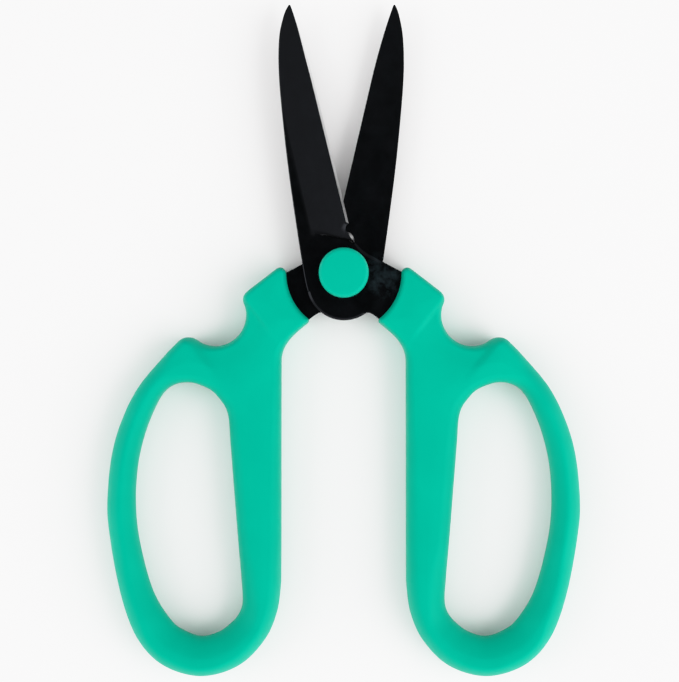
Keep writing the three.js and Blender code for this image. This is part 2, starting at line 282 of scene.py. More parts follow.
def handle_maps():
    """Edge distances, roll-off widths and half thickness over the plan of the handle."""
    count = np.ceil((MAP_HIGH - MAP_LOW) / MAP_STEP).astype(int) + 1
    x = (MAP_LOW[0] + MAP_STEP * np.arange(count[0]))[:, None] + np.zeros(count)
    y = (MAP_LOW[1] + MAP_STEP * np.arange(count[1]))[None, :] + np.zeros(count)
    outer = blurred(signed_distance(handle_outline(), x, y))
    hole = blurred(-signed_distance(hole_outline(), x, y))
    weight_sum = np.zeros(count)
    outer_width = np.zeros(count)
    hole_width = np.zeros(count)
    for site_x, site_y, at_outer, at_hole in SOFTNESS:
        weight = 1 / ((x - site_x) ** 2 + (y - site_y) ** 2 + SITE_REACH**2) ** 2
        weight_sum += weight
        outer_width += weight * at_outer
        hole_width += weight * at_hole
    crown = CROWN_DROP * (1 - smoothstep(0, CROWN_REACH, -np.maximum(outer, hole)))
    half = HANDLE_HALF - crown - scoop_depth(x, y)
    return np.stack((outer, hole, outer_width / weight_sum, hole_width / weight_sum, half), axis=-1)


def sampled(maps, x, y):
    """The maps read between their points."""
    column = np.clip((x - MAP_LOW[0]) / MAP_STEP, 0, maps.shape[0] - 1.001)
    row = np.clip((y - MAP_LOW[1]) / MAP_STEP, 0, maps.shape[1] - 1.001)
    i, j = column.astype(int), row.astype(int)
    u, v = (column - i)[..., None], (row - j)[..., None]
    low = maps[i, j] * (1 - u) + maps[i + 1, j] * u
    high = maps[i, j + 1] * (1 - u) + maps[i + 1, j + 1] * u
    return np.moveaxis(low * (1 - v) + high * v, -1, 0)


def handle_level(maps, x, y, z):
    """Zero on the handle's surface and negative inside it. The edges are flatter at the loop's bottom."""
    outer, hole, outer_width, hole_width, half = sampled(maps, x, y)
    past_outer = np.maximum(outer + outer_width, 0) / outer_width
    past_hole = np.maximum(hole + hole_width, 0) / hole_width
    depth = np.minimum(np.maximum(outer_width, hole_width) * ROLL_DEPTH, half - LEAST_FLAT_WALL)
    past_face = np.maximum(np.abs(z - HANDLE_MID_Z) - half + depth, 0) / depth
    power = 2 - (2 - FLARE_POWER) * smoothstep(*FLARE_SPAN, -y)
    return (past_outer**power + past_hole**power + past_face**power) ** (1 / power) - 1


CUBE_CORNERS = [(i, j, k) for i in (0, 1) for j in (0, 1) for k in (0, 1)]
CUBE_EDGES = [
    (a, b) for a in CUBE_CORNERS for b in CUBE_CORNERS if a < b and sum(np.abs(np.subtract(a, b))) == 1
]


def crossed_cells(value):
    """The value at each corner of every cell, and the cells that the surface passes through."""
    shape = np.array(value.shape) - 1
    corners = {(i, j, k): value[i:shape[0] + i, j:shape[1] + j, k:shape[2] + k] for i, j, k in CUBE_CORNERS}
    inside = sum((corners[c] < 0).astype(int) for c in CUBE_CORNERS)
    return corners, np.argwhere((inside > 0) & (inside < 8))


def net_points(corners, cells):
    """One point in each crossed cell: the mean of the places where its edges cross the surface."""
    total = np.zeros((len(cells), 3))
    crossings = np.zeros(len(cells))
    for a, b in CUBE_EDGES:
        at_a, at_b = corners[a][tuple(cells.T)], corners[b][tuple(cells.T)]
        crosses = (at_a < 0) != (at_b < 0)
        t = np.where(crosses, at_a / np.where(crosses, at_a - at_b, 1), 0)
        point = np.array(a) + t[:, None] * np.subtract(b, a)
        total += point * crosses[:, None]
        crossings += crosses
    return cells + total / crossings[:, None]


def net_faces(value, index, axis):
    """A four-sided face for each crossed grid edge along one axis, turned to face outward."""
    u, v = [other for other in range(3) if other != axis]
    step = np.eye(3, dtype=int)
    here = np.argwhere(np.diff(value < 0, axis=axis))
    row, column = here[:, u], here[:, v]
    here = here[(row > 0) & (column > 0) & (row < index.shape[u]) & (column < index.shape[v])]
    around = ((0, 0), (1, 0), (1, 1), (0, 1))
    faces = np.column_stack([index[tuple((here - a * step[u] - b * step[v]).T)] for a, b in around])
    leaving = value[tuple(here.T)] < 0
    flip = leaving if axis == 1 else ~leaving
    faces[flip] = faces[flip][:, ::-1]
    return faces


def surface_net(value, low, cell):
    """Vertices and four-sided faces of the surface where value changes sign."""
    corners, cells = crossed_cells(value)
    index = np.full(np.array(value.shape) - 1, -1)
    index[tuple(cells.T)] = np.arange(len(cells))
    faces = np.vstack([net_faces(value, index, axis) for axis in range(3)])
    return low + cell * net_points(corners, cells), faces


def pulled_to_surface(level, points, cell, rounds=4, nudge=0.03):
    """Moves each vertex onto the exact surface, along its slope."""
    for _ in range(rounds):
        here = level(*points.T)
        slope = np.column_stack([
            (level(*(points + nudge * unit).T) - level(*(points - nudge * unit).T)) / (2 * nudge)
            for unit in np.eye(3)
        ])
        move = here[:, None] * slope / (np.sum(slope**2, axis=1)[:, None] + 1e-6)
        length = np.linalg.norm(move, axis=1)[:, None] + 1e-9
        points = points - move * np.minimum(1, cell / length)
    return points


def relaxed(points, faces, amount=0.5):
    """Evens out the spacing of the vertices."""
    total = np.zeros_like(points)
    count = np.zeros(len(points))
    for side in range(4):
        np.add.at(total, faces[:, side], points[faces[:, side - 1]])
        np.add.at(count, faces[:, side], 1)
    return points + amount * (total / count[:, None] - points)


def handle_surface():
    """Vertices and faces of the right handle."""
    maps = handle_maps()

    def level(x, y, z):
        return handle_level(maps, x, y, z)

    low = np.array((MAP_LOW[0], MAP_LOW[1], HANDLE_FOOT_Z - 1.5 * MOULD_CELL))
    high = np.array((MAP_HIGH[0], MAP_HIGH[1], HANDLE_TOP_Z + 1.5 * MOULD_CELL))
    axes = [np.arange(a, b, MOULD_CELL) for a, b in zip(low, high)]
    value = level(axes[0][:, None, None], axes[1][None, :, None], axes[2][None, None, :])
    points, faces = surface_net(value, low, MOULD_CELL)
    for _ in range(3):
        points = pulled_to_surface(level, relaxed(points, faces), MOULD_CELL)
    return points, faces


def make_object(name, points, faces, materials, face_materials=None, sharp_angle=None):
    mesh = bpy.data.meshes.new(name)
    mesh.from_pydata((np.asarray(points) * MM).tolist(), [], [list(map(int, f)) for f in faces])
    for material in materials:
        mesh.materials.append(material)
    if face_materials is not None:
        mesh.polygons.foreach_set("material_index", np.asarray(face_materials, dtype=np.int32))
    mesh.shade_smooth()
    if sharp_angle is not None:
        mesh.set_sharp_from_angle(angle=math.radians(sharp_angle))
    mesh.update()
    piece = bpy.data.objects.new(name, mesh)
    bpy.context.collection.objects.link(piece)
    return piece


# ---- blades, in the blade's own frame: the cutting edge is parallel to Y ----

LOWER_SPINE_INSET = 0.5
RIDGE_X = -5.1
RIDGE_TOP_X = -4.9
RIDGE_RISE = 31.0
RIDGE_FOOT = (-5.25, 11.4)
GRIND_FOOT = (5.2, 6.0)
GROUND_CORNER = 1.5
GROUND_EDGE = 0.9
SHARP_EDGE = 0.15
BEVEL_WIDTH = 0.54
COATED_CHAMFER = 0.18
HUB_CHAMFER = 0.5
CHAMFER_SLOPE = 0.5
SHOULDER_CHAMFER = 0.75
BACK_CHAMFER = 0.1
BARE_BACK_CHAMFER = 0.02
NOTCH_CHAMFER = 0.1
TIP_BEVEL = 0.06
BEVEL_RUN_OUT = 16.0
HUB_ARC = (180, 291)
TANG_NECK = (4.9, -11.9)
TANG_BEND = (9, -16.8)
TANG_INNER = ((10.9, -24), (9.3, -34.5))
TANG_END = (12, -37.5)
TANG_OUTER = ((15, -34.5), (17.6, -22))
TANG_SIDE = (16.6, -8)
SHOULDER_CORNER = (13.6, -2.9)
TANG_TOP = (11.4, -0.95)
SHOULDER_BEND = (7.8, 2.25)
EDGE_CORNER = (EDGE_X + 0.3, EDGE_FOOT_Y)
EDGE_HEAD = (EDGE_X, NOTCH_TOP_Y)
TIP_EDGE = (TIP_X + 0.35, TIP_Y - 0.75)
TIP_SPINE = (TIP_X - 0.25, TIP_Y - 0.2)
FOOT_RAMP = 0.9
PIVOT_HOLE_RADIUS = 3.1
BLADE_SHARP_ANGLE = 17
FRONT_SPACING = 1.1
BACK_SPACING = 2.5
GROUND_ROWS = (0.0, 0.12, 0.25, 0.4, 0.58, 0.78, 1.0, 1.3)


def spine_and_hub(inset):
    """The back of the blade from the tip down, and the round of the hub, narrowed by the inset."""
    i = inset
    hub = (HUB_CENTRE[0] + i / 2, HUB_CENTRE[1])
    spine = spline([
        TIP_SPINE, (0.9 + i / 2, 64.6), (-1.5 + i, 59.6), (-3.5 + i, 52), (-5.1 + i, 42.5),
        (-7 + i, 28), (-8.5 + i, 13), (-9.4 + i, 2), (HUB_CENTRE[0] - HUB_RADIUS + i, HUB_CENTRE[1]),
    ])
    return spine, arc(hub, HUB_RADIUS - i / 2, *HUB_ARC), on_circle(hub, HUB_RADIUS - i / 2, HUB_ARC[1])


def tang_curve(hub_end):
    """Down the inner side of the tang, round its end and up to the shoulder."""
    return np.vstack((
        bezier([hub_end, (3.6, -10.3), TANG_NECK], 8),
        segment(TANG_NECK, TANG_BEND),
        bezier([TANG_BEND, (11.2, -19.4), TANG_INNER[0]]),
        segment(*TANG_INNER),
        bezier([TANG_INNER[1], (9.6, -37.5), TANG_END], 8),
        bezier([TANG_END, (14.6, -37.5), TANG_OUTER[0]], 8),
        segment(*TANG_OUTER),
        bezier([TANG_OUTER[1], (18.8, -14), TANG_SIDE]),
        segment(TANG_SIDE, SHOULDER_CORNER),
        segment(SHOULDER_CORNER, TANG_TOP),
    ))


def edge_foot_and_notch(notched):
    """From the shoulder to the cutting edge, with or without the wire notch."""
    if notched:
        return (bezier([EDGE_CORNER, (4.62, 8.0), (4.25, 9.35), NOTCH_FOOT], 12),
                bezier([NOTCH_FOOT, (2.75, 10.5), (3.3, 11.4), EDGE_HEAD], 12))
    plain_foot = (EDGE_X, NOTCH_FOOT[1])
    return (bezier([EDGE_CORNER, (EDGE_X + 0.05, EDGE_FOOT_Y + 0.7), plain_foot], 12),
            segment(plain_foot, EDGE_HEAD))


def blade_sections(inset, notched):
    """The outline, counter-clockwise, as (points, chamfer at each point, bare steel or coated) parts."""
    spine, hub_arc, hub_end = spine_and_hub(inset)
    tang = tang_curve(hub_end)
    shoulder = np.vstack((
        segment(TANG_TOP, SHOULDER_BEND),
        bezier([SHOULDER_BEND, (5.4, 4.2), EDGE_CORNER]),
    ))
    edge_foot, notch = edge_foot_and_notch(notched)
    edge = np.vstack((
        segment(EDGE_HEAD, (EDGE_X, EDGE_TOP_Y)),
        bezier([(EDGE_X, EDGE_TOP_Y), (EDGE_X + 0.05, 57), TIP_EDGE], 40),
        bezier([TIP_EDGE, (TIP_X + 0.28, TIP_Y + 0.2), TIP_SPINE], 10),
    ))
    along = np.hypot(*(shoulder - shoulder[0]).T)
    rise = smoothstep(0.5, 3.5, along) * (1 - 0.5 * smoothstep(6.5, 10, along))
    swell = np.sin(np.linspace(0.05, 0.95, len(edge_foot)) * math.pi)
    taper = smoothstep(0, BEVEL_RUN_OUT, TIP_Y - edge[:, 1])
    return [
        (spine, np.full(len(spine), COATED_CHAMFER), False),
        (hub_arc, np.full(len(hub_arc), HUB_CHAMFER), False),
        (tang, np.full(len(tang), COATED_CHAMFER), False),
        (shoulder, COATED_CHAMFER + (SHOULDER_CHAMFER - COATED_CHAMFER) * rise, False),
        (edge_foot, NOTCH_CHAMFER + BEVEL_WIDTH * swell, True),
        (notch, np.full(len(notch), NOTCH_CHAMFER if notched else BEVEL_WIDTH), not notched),
        (edge, TIP_BEVEL + (BEVEL_WIDTH - TIP_BEVEL) * taper, True),
    ]


def inward_normals(outline):
    """Mitred normals that point into a counter-clockwise outline."""
    along = np.roll(outline, -1, axis=0) - outline
    along /= np.linalg.norm(along, axis=1)[:, None]
    normal = np.column_stack((-along[:, 1], along[:, 0]))
    mean = normal + np.roll(normal, 1, axis=0)
    mean /= np.linalg.norm(mean, axis=1)[:, None]
    spread = np.clip(np.sum(mean * normal, axis=1), 0.6, 1)
    return mean / spread[:, None]


def ground_boundary():
    """The ridge and the foot of the ground face, with a rounded corner between them."""
    ridge_foot, grind_foot = np.array(RIDGE_FOOT), np.array(GRIND_FOOT)
    up = np.array((RIDGE_TOP_X - RIDGE_FOOT[0], RIDGE_RISE))
    up /= np.linalg.norm(up)
    along = (grind_foot - ridge_foot) / np.linalg.norm(grind_foot - ridge_foot)
    corner_start, corner_end = ridge_foot + GROUND_CORNER * up, ridge_foot + GROUND_CORNER * along
    return np.vstack((
        [ridge_foot + 65 * up],
        segment(ridge_foot + 62 * up, corner_start, 1.0),
        bezier([corner_start, ridge_foot, corner_end], 10),
        segment(corner_end, grind_foot, 0.6),
        [grind_foot],
    ))


def distance_to_path(path, x, y):
    """Distance to an open path, positive on its right when walked from first to last point."""
    nearest = np.full(x.shape, 1e9)
    side = np.ones(x.shape)
    for (ax, ay), (bx, by) in zip(path[:-1], path[1:]):
        dx, dy = bx - ax, by - ay
        along = np.clip(((x - ax) * dx + (y - ay) * dy) / (dx * dx + dy * dy), 0, 1)
        gap = np.hypot(x - ax - along * dx, y - ay - along * dy)
        closer = gap < nearest
        nearest = np.where(closer, gap, nearest)
        side = np.where(closer, np.where(dx * (y - ay) - dy * (x - ax) > 0, 1, -1), side)
    return nearest * side


def blade_height(x, y):
    """Height of the ground side over the flat back: a plane that falls from the ridge to the cutting edge."""
    slope = (BLADE_THICKNESS - GROUND_EDGE) / (EDGE_X - BEVEL_WIDTH - RIDGE_X)
    ridge_x = RIDGE_FOOT[0] + (RIDGE_TOP_X - RIDGE_FOOT[0]) * (y - RIDGE_FOOT[1]) / RIDGE_RISE
    above_foot = side_of((RIDGE_FOOT, GRIND_FOOT), x, y)
    bite = 1 - (1 - np.clip(above_foot / FOOT_RAMP, 0, 1)) ** 2
    return BLADE_THICKNESS - slope * np.clip(x - ridge_x, 0, None) * bite


def offset_path(path, distance):
    """The path moved to its left."""
    along = np.gradient(path, axis=0)
    along /= np.linalg.norm(along, axis=1)[:, None]
    return path + distance * np.column_stack((-along[:, 1], along[:, 0]))


def add_loops(loops, points, edges):
    """Adds closed rows of points and the edges between them."""
    for loop in loops:
        start = len(points)
        points += [tuple(p) for p in loop]
        edges += [(start + i, start + (i + 1) % len(loop)) for i in range(len(loop))]


def add_open_line(line, keep, points, edges):
    """Adds the kept points of an open line, joined where neighbours are kept."""
    for i, point in enumerate(line):
        if keep[i]:
            points.append(tuple(point))
            if i and keep[i - 1]:
                edges.append((len(points) - 2, len(points) - 1))


def grid_points(outline, holes, lines, spacing):
    """Points of a square grid that are clear of the outline, the holes and the lines."""
    low, high = outline.min(axis=0), outline.max(axis=0)
    x, y = np.meshgrid(np.arange(low[0], high[0], spacing), np.arange(low[1], high[1], spacing))
    x, y = x.ravel(), y.ravel()
    clear = signed_distance(outline, x, y) < -spacing / 2
    for loop in holes:
        clear &= signed_distance(loop, x, y) > spacing / 2
    for line in lines:
        clear &= np.abs(distance_to_path(line, x, y)) > spacing / 3
    return list(zip(x[clear], y[clear]))


def filled_plan(outline, holes, lines, spacing, line_margin=0.06):
    """A triangulated plan: points, triangles, and how many of the points are on the outline and holes."""
    points, edges = [], []
    add_loops([outline] + holes, points, edges)
    fixed = len(points)
    for line in lines:
        keep = signed_distance(outline, line[:, 0], line[:, 1]) < -line_margin
        add_open_line(line, keep, points, edges)
    points += grid_points(outline, holes, lines, spacing)
    vectors = [Vector((float(px), float(py))) for px, py in points]
    flat, _, triangles, _, _, _ = delaunay_2d_cdt(vectors, edges, [], 0, 1e-6)
    flat = np.array([tuple(v) for v in flat])
    triangles = np.array([tuple(t) for t in triangles])
    middle = flat[triangles].mean(axis=1)
    inside = signed_distance(outline, middle[:, 0], middle[:, 1]) < 0
    for loop in holes:
        inside &= signed_distance(loop, middle[:, 0], middle[:, 1]) > 0
    return flat, triangles[inside], fixed


class Body:
    """Collects vertices and faces of a closed mesh."""

    def __init__(self):
        self.points, self.faces, self.materials = [], [], []

    def add_points(self, points):
        start = sum(len(p) for p in self.points)
        self.points.append(np.asarray(points, float))
        return start + np.arange(len(points))

    def add_faces(self, faces):
        for face in faces:
            self.faces.append([int(v) for v in face])
            self.materials.append(0)

    def add_band(self, first, second, materials=None):
        """Four-sided faces between two closed rows of vertices."""
        count = len(first)
        for i in range(count):
            j = (i + 1) % count
            self.faces.append([int(first[i]), int(first[j]), int(second[j]), int(second[i])])
            self.materials.append(0 if materials is None else int(materials[i]))

    def all_points(self):
        return np.vstack(self.points)


def with_height(plan, height):
    return np.column_stack((plan, np.broadcast_to(height, len(plan))))


def add_face_plan(body, plan, hole, height, upward):
    """Adds a triangulated plan at the given heights, and gives its outline's and its hole's vertices."""
    flat, triangles, fixed = plan
    vertices = body.add_points(with_height(flat, height))
    body.add_faces(vertices[triangles] if upward else vertices[triangles][:, ::-1])
    rim = fixed - len(hole)
    return vertices[:rim], vertices[rim:fixed]


def blade_body(inset, notched):
    """A closed blade: flat back at height 0, ground side up."""
    sections = blade_sections(inset, notched)
    outline = np.vstack([points for points, _, _ in sections])
    width = np.concatenate([chamfer for _, chamfer, _ in sections])
    bare = np.concatenate([np.full(len(points), steel) for points, _, steel in sections])
    back_width = np.where(bare, BARE_BACK_CHAMFER, BACK_CHAMFER)
    normals = inward_normals(outline)
    front = outline + normals * width[:, None]
    back = outline + normals * back_width[:, None]
    hole = arc((0, 0), PIVOT_HOLE_RADIUS, 360, 0, 0.4)
    lines = [offset_path(ground_boundary(), row) for row in GROUND_ROWS]

    body = Body()
    plan = filled_plan(front, [hole], lines, FRONT_SPACING)
    height = blade_height(plan[0][:, 0], plan[0][:, 1])
    front_row, front_hole = add_face_plan(body, plan, hole, height, True)
    back_plan = filled_plan(back, [hole], [], BACK_SPACING)
    back_row, back_hole = add_face_plan(body, back_plan, hole, 0, False)

    local = height[:len(front)]
    edge_height = np.where(bare, SHARP_EDGE, np.maximum(local - CHAMFER_SLOPE * width, SHARP_EDGE))
    wall_top = body.add_points(with_height(outline, edge_height))
    wall_foot = body.add_points(with_height(outline, back_width))
    steel = (bare & np.roll(bare, -1)).astype(int)
    body.add_band(wall_top, front_row, steel)
    body.add_band(wall_foot, wall_top, steel)
    body.add_band(back_row, wall_foot)
    body.add_band(back_hole, front_hole)
    return body


def turned_plan(points, degrees):
    angle = math.radians(degrees)
    x, y = points[:, 0].copy(), points[:, 1].copy()
    points[:, 0] = x * math.cos(angle) - y * math.sin(angle)
    points[:, 1] = x * math.sin(angle) + y * math.cos(angle)
    return points


def make_blade(node, inset, notched, turned_over, materials):
    body = blade_body(inset, notched)
    points = turned_plan(body.all_points(), BLADE_TURN[node])
    low, high = node_range_mm(node, 2)
    points[:, 2] += low
    if turned_over:
        points[:, 0] = -points[:, 0]
        points[:, 2] = low + high - points[:, 2]
    return make_object("detailed_" + node, points, body.faces, materials, body.materials, BLADE_SHARP_ANGLE)


# ---- turned hardware ----


def turned_object(name, profile, materials, sides=96, sharp_angle=30):
    """A closed body turned about the pivot axis from (radius, height) points, first and last on the axis."""
    angle = 2 * math.pi * np.arange(sides) / sides
    body = Body()
    rows = []
    for radius, height in profile:
        if radius == 0:
            rows.append(body.add_points([(0, 0, height)]))
        else:
            ring = np.column_stack((radius * np.cos(angle), radius * np.sin(angle), np.full(sides, height)))
            rows.append(body.add_points(ring))
    for lower, upper in zip(rows[:-1], rows[1:]):
        if len(lower) == 1:
            body.add_faces([(lower[0], upper[(i + 1) % sides], upper[i]) for i in range(sides)])
        elif len(upper) == 1:
            body.add_faces([(lower[i], lower[(i + 1) % sides], upper[0]) for i in range(sides)])
        else:
            body.add_band(lower, upper)
    return make_object(name, body.all_points(), body.faces, materials, body.materials, sharp_angle)


def quarter(centre, radius, start, end, count=8):
    """Points on a rounded edge of a profile, both ends included."""
    angles = np.radians(np.linspace(start, end, count))
    return [(centre[0] + radius * math.cos(a), centre[1] + radius * math.sin(a)) for a in angles]


CAP_RIM = 1.0
CAP_DOME = 0.12
CAP_BORE = 5.2
CAP_CEILING = 0.9


def cap_profile():
    """A push-on cup: crowned face, rounded rim, slightly rounded foot, plain bore."""
    top = CAP_TOP_Z - CAP_DOME
    dome = [(r, top + CAP_DOME * (1 - (r / (CAP_RADIUS - CAP_RIM)) ** 2)) for r in (4, 3, 2, 1, 0)]
    ceiling = CAP_TOP_Z - CAP_CEILING
    return ([(0, ceiling), (CAP_BORE - 0.3, ceiling), (CAP_BORE, ceiling - 0.3),
             (CAP_BORE, CAP_FOOT_Z + 0.1), (CAP_BORE + 0.1, CAP_FOOT_Z)]
            + quarter((CAP_RADIUS - 0.25, CAP_FOOT_Z + 0.25), 0.25, 270, 360, 5)
            + quarter((CAP_RADIUS - CAP_RIM, top - CAP_RIM), CAP_RIM, 0, 90, 12) + dome)


BOLT_FACE_RADIUS = 4.6
BOLT_HEAD_RADIUS = 5.2
BOLT_HEAD_HEIGHT = 2.4
BOLT_SHANK_RADIUS = 3.0
BOLT_THREAD_RADIUS = 2.5
BOLT_SHOULDER_Z = 8.1
BOLT_END_Z = 12.45
THREAD_PITCH = 0.8
THREAD_DEPTH = 0.35


def bolt_profile():
    """Head with a lightly dished face and a rounded edge, shank, and the thread as plain rings."""
    profile = [(0, 0.06), (2.2, 0.05), (3.4, 0.02), (BOLT_FACE_RADIUS - 0.6, 0.0), (BOLT_FACE_RADIUS, 0.03)]
    profile += quarter((BOLT_HEAD_RADIUS - 0.55, 0.62), 0.55, 300, 360, 6)
    profile += [(BOLT_HEAD_RADIUS, BOLT_HEAD_HEIGHT - 0.15), (BOLT_HEAD_RADIUS - 0.1, BOLT_HEAD_HEIGHT)]
    profile += [(BOLT_SHANK_RADIUS, BOLT_HEAD_HEIGHT), (BOLT_SHANK_RADIUS, BOLT_SHOULDER_Z)]
    root = BOLT_THREAD_RADIUS - THREAD_DEPTH
    for turn in range(int((BOLT_END_Z - BOLT_SHOULDER_Z - 0.5) / THREAD_PITCH)):
        foot = BOLT_SHOULDER_Z + THREAD_PITCH * turn
        profile += [(root, foot + 0.05), (BOLT_THREAD_RADIUS, foot + THREAD_PITCH / 2)]
    return profile + [(root, BOLT_END_Z - 0.3), (BOLT_THREAD_RADIUS - 0.6, BOLT_END_Z), (0, BOLT_END_Z)]


# ---- materials ----


class Nodes:
    """A material's node tree, with short calls for the nodes used here."""

    def __init__(self, name):
        self.material = bpy.data.materials.new(name)
        self.material.use_nodes = True
        self.tree = self.material.node_tree
        self.shader = self.tree.nodes["Principled BSDF"]
        self.coordinates = self.tree.nodes.new("ShaderNodeTexCoord").outputs["Object"]

    def join(self, output, socket):
        self.tree.links.new(output, socket)

    def node(self, kind, inputs=None, **settings):
        made = self.tree.nodes.new(kind)
        for key, value in settings.items():
            setattr(made, key, value)
        for key, value in (inputs or {}).items():
            if isinstance(value, bpy.types.NodeSocket):
                self.join(value, made.inputs[key])
            else:
                made.inputs[key].default_value = value
        return made

    def noise(self, size_mm, detail=3.0, roughness=0.55, stretch=None):
        """Noise whose features are about size_mm across."""
        vector = self.coordinates
        if stretch is not None:
            vector = self.node("ShaderNodeMapping", {"Vector": vector, "Scale": stretch}).outputs[0]
        return self.node("ShaderNodeTexNoise", {
            "Vector": vector, "Scale": 1 / (size_mm * MM), "Detail": detail, "Roughness": roughness,
        }).outputs["Fac"]

    def ranged(self, value, low, high, from_low=0.3, from_high=0.7):
        return self.node("ShaderNodeMapRange", {
            "Value": value, "From Min": from_low, "From Max": from_high, "To Min": low, "To Max": high,
        }).outputs[0]

    def mixed(self, factor, first, second):
        mix = self.node("ShaderNodeMix", data_type="RGBA")
        self.join(factor, mix.inputs["Factor"])
        for socket, value in ((mix.inputs[6], first), (mix.inputs[7], second)):
            if isinstance(value, bpy.types.NodeSocket):
                self.join(value, socket)
            else:
                socket.default_value = (*value, 1)
        return mix.outputs[2]

    def math(self, operation, first, second=None):
        made = self.tree.nodes.new("ShaderNodeMath")
        made.operation = operation
        for socket, value in zip(made.inputs, (first, second)):
            if isinstance(value, bpy.types.NodeSocket):
                self.join(value, socket)
            elif value is not None:
                socket.default_value = value
        return made.outputs[0]

    def bump(self, height, distance_mm, strength=1.0, normal=None):
        inputs = {"Height": height, "Distance": distance_mm * MM, "Strength": strength}
        if normal is not None:
            inputs["Normal"] = normal
        return self.node("ShaderNodeBump", inputs).outputs[0]

    def set(self, **values):
        for key, value in values.items():
            socket = self.shader.inputs[key.replace("_", " ")]
            if isinstance(value, bpy.types.NodeSocket):
                self.join(value, socket)
            else:
                socket.default_value = value
        return self.material


def moulded_plastic(name, light, dark, gloss, parting_z=None):
    """Satin nylon: a fine spark-eroded texture, faint flow marks, and a parting line round the edge."""
    nodes = Nodes(name)
    flow = nodes.noise(14, 2)
    tone = nodes.mixed(nodes.ranged(flow, 0, 1), dark, light)
    grain = nodes.noise(0.22, 2, 0.6)
    normal = nodes.bump(grain, 0.012, 0.6)
    if parting_z is not None:
        height = nodes.node("ShaderNodeSeparateXYZ", {"Vector": nodes.coordinates}).outputs["Z"]
        away = nodes.math("ABSOLUTE", nodes.math("SUBTRACT", height, parting_z * MM))
        ridge = nodes.ranged(away, 1, 0, 0.02 * MM, 0.12 * MM)
        normal = nodes.bump(ridge, 0.05, 0.8, normal)
    rough = nodes.ranged(nodes.noise(3.0, 3), 0.42, 0.52)
    return nodes.set(Base_Color=tone, Roughness=rough, Normal=normal, IOR=1.45,
                     Specular_IOR_Level=gloss, Specular_Tint=(0.02, 1.0, 0.85, 1))


RUBBED_PLACE = (9.5, -0.5, 8.1)
RUBBED_REACH = 7.0


def black_coating(name):
    """Fluororesin-like coating: near black, faintly blue, finely mottled, with rubbed patches."""
    nodes = Nodes(name)
    mottle = nodes.noise(5.0, 5, 0.6)
    tone = nodes.mixed(nodes.ranged(mottle, 0, 1), (0.0006, 0.0008, 0.0008), (0.0011, 0.0013, 0.0015))
    away = nodes.node("ShaderNodeVectorMath", {0: nodes.coordinates, 1: [c * MM for c in RUBBED_PLACE]},
                      operation="DISTANCE").outputs["Value"]
    rubbed = nodes.ranged(away, 1, 0.04, 0.3 * RUBBED_REACH * MM, RUBBED_REACH * MM)
    smudges = nodes.ranged(nodes.noise(2.2, 4, 0.6), 0, 1, 0.44, 0.72)
    worn = nodes.math("MULTIPLY", rubbed, smudges)
    tone = nodes.mixed(worn, tone, (0.0120, 0.0190, 0.0225))
    peel = nodes.noise(0.35, 2)
    lines = nodes.noise(0.25, 2, 0.5, (1.0, 0.06, 1.0))
    normal = nodes.bump(peel, 0.006, 0.5, nodes.bump(lines, 0.004, 0.5))
    rough = nodes.ranged(mottle, 0.15, 0.21)
    return nodes.set(Base_Color=tone, Roughness=rough, Normal=normal, Specular_IOR_Level=0.16,
                     Specular_Tint=(0.82, 0.86, 1.0, 1))


def ground_steel(name):
    """Bare steel with the fine lines that the wheel leaves across the edge."""
    nodes = Nodes(name)
    lines = nodes.noise(0.12, 3, 0.6, (0.12, 1.0, 1.0))
    tone = nodes.mixed(nodes.ranged(lines, 0, 1), (0.60, 0.61, 0.62), (0.86, 0.86, 0.86))
    normal = nodes.bump(lines, 0.006, 0.7)
    rough = nodes.ranged(nodes.noise(1.5, 3), 0.28, 0.42)
    return nodes.set(Base_Color=tone, Roughness=rough, Normal=normal, Metallic=1.0)


def turned_steel(name, light, dark, rough_low, rough_high):
    """Plated steel with faint rings from the lathe and small stains."""
    nodes = Nodes(name)
    parts = nodes.node("ShaderNodeSeparateXYZ", {"Vector": nodes.coordinates}).outputs
    squares = nodes.math("ADD", nodes.math("MULTIPLY", parts["X"], parts["X"]),
                         nodes.math("MULTIPLY", parts["Y"], parts["Y"]))
    radius = nodes.math("SQRT", squares)
    rings = nodes.node("ShaderNodeTexNoise", {"W": radius, "Scale": 9000.0, "Detail": 2.0},
                       noise_dimensions="1D").outputs["Fac"]
    stain = nodes.noise(1.8, 4, 0.6)
    tone = nodes.mixed(nodes.ranged(stain, 0, 1), dark, light)
    rough = nodes.ranged(stain, rough_low, rough_high)
    return nodes.set(Base_Color=tone, Roughness=rough, Normal=nodes.bump(rings, 0.006, 0.8), Metallic=1.0)


def table_surface(name):
    """Matt white board with a hardly visible grain."""
    nodes = Nodes(name)
    tone = nodes.mixed(nodes.ranged(nodes.noise(60, 3), 0, 1), (0.945, 0.935, 0.935), (0.96, 0.95, 0.95))
    normal = nodes.bump(nodes.noise(0.8, 3), 0.01, 0.3)
    return nodes.set(Base_Color=tone, Roughness=0.9, Normal=normal, Specular_IOR_Level=0.1)


HANDLE_GREEN = moulded_plastic("handle_green", (0.0, 0.358, 0.242), (0.0, 0.340, 0.230), 0.14, HANDLE_MID_Z)
CAP_GREEN = moulded_plastic("cap_green", (0.0, 0.358, 0.244), (0.0, 0.346, 0.236), 0.3)
BLACK = black_coating("black_coating")
BEVEL_STEEL = ground_steel("ground_steel")
PLATED = turned_steel("plated_steel", (0.62, 0.63, 0.64), (0.46, 0.47, 0.48), 0.25, 0.38)
SPRING = turned_steel("spring_steel", (0.42, 0.42, 0.43), (0.27, 0.27, 0.28), 0.35, 0.5)


# ---- pieces ----


def show(piece, node):
    """The piece stands for a CAD node and moves with that node's body."""
    body = next(name for name, nodes in frame["record"]["behaviour"]["bodies"].items() if node in nodes)
    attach(piece, body)
    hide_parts(node)


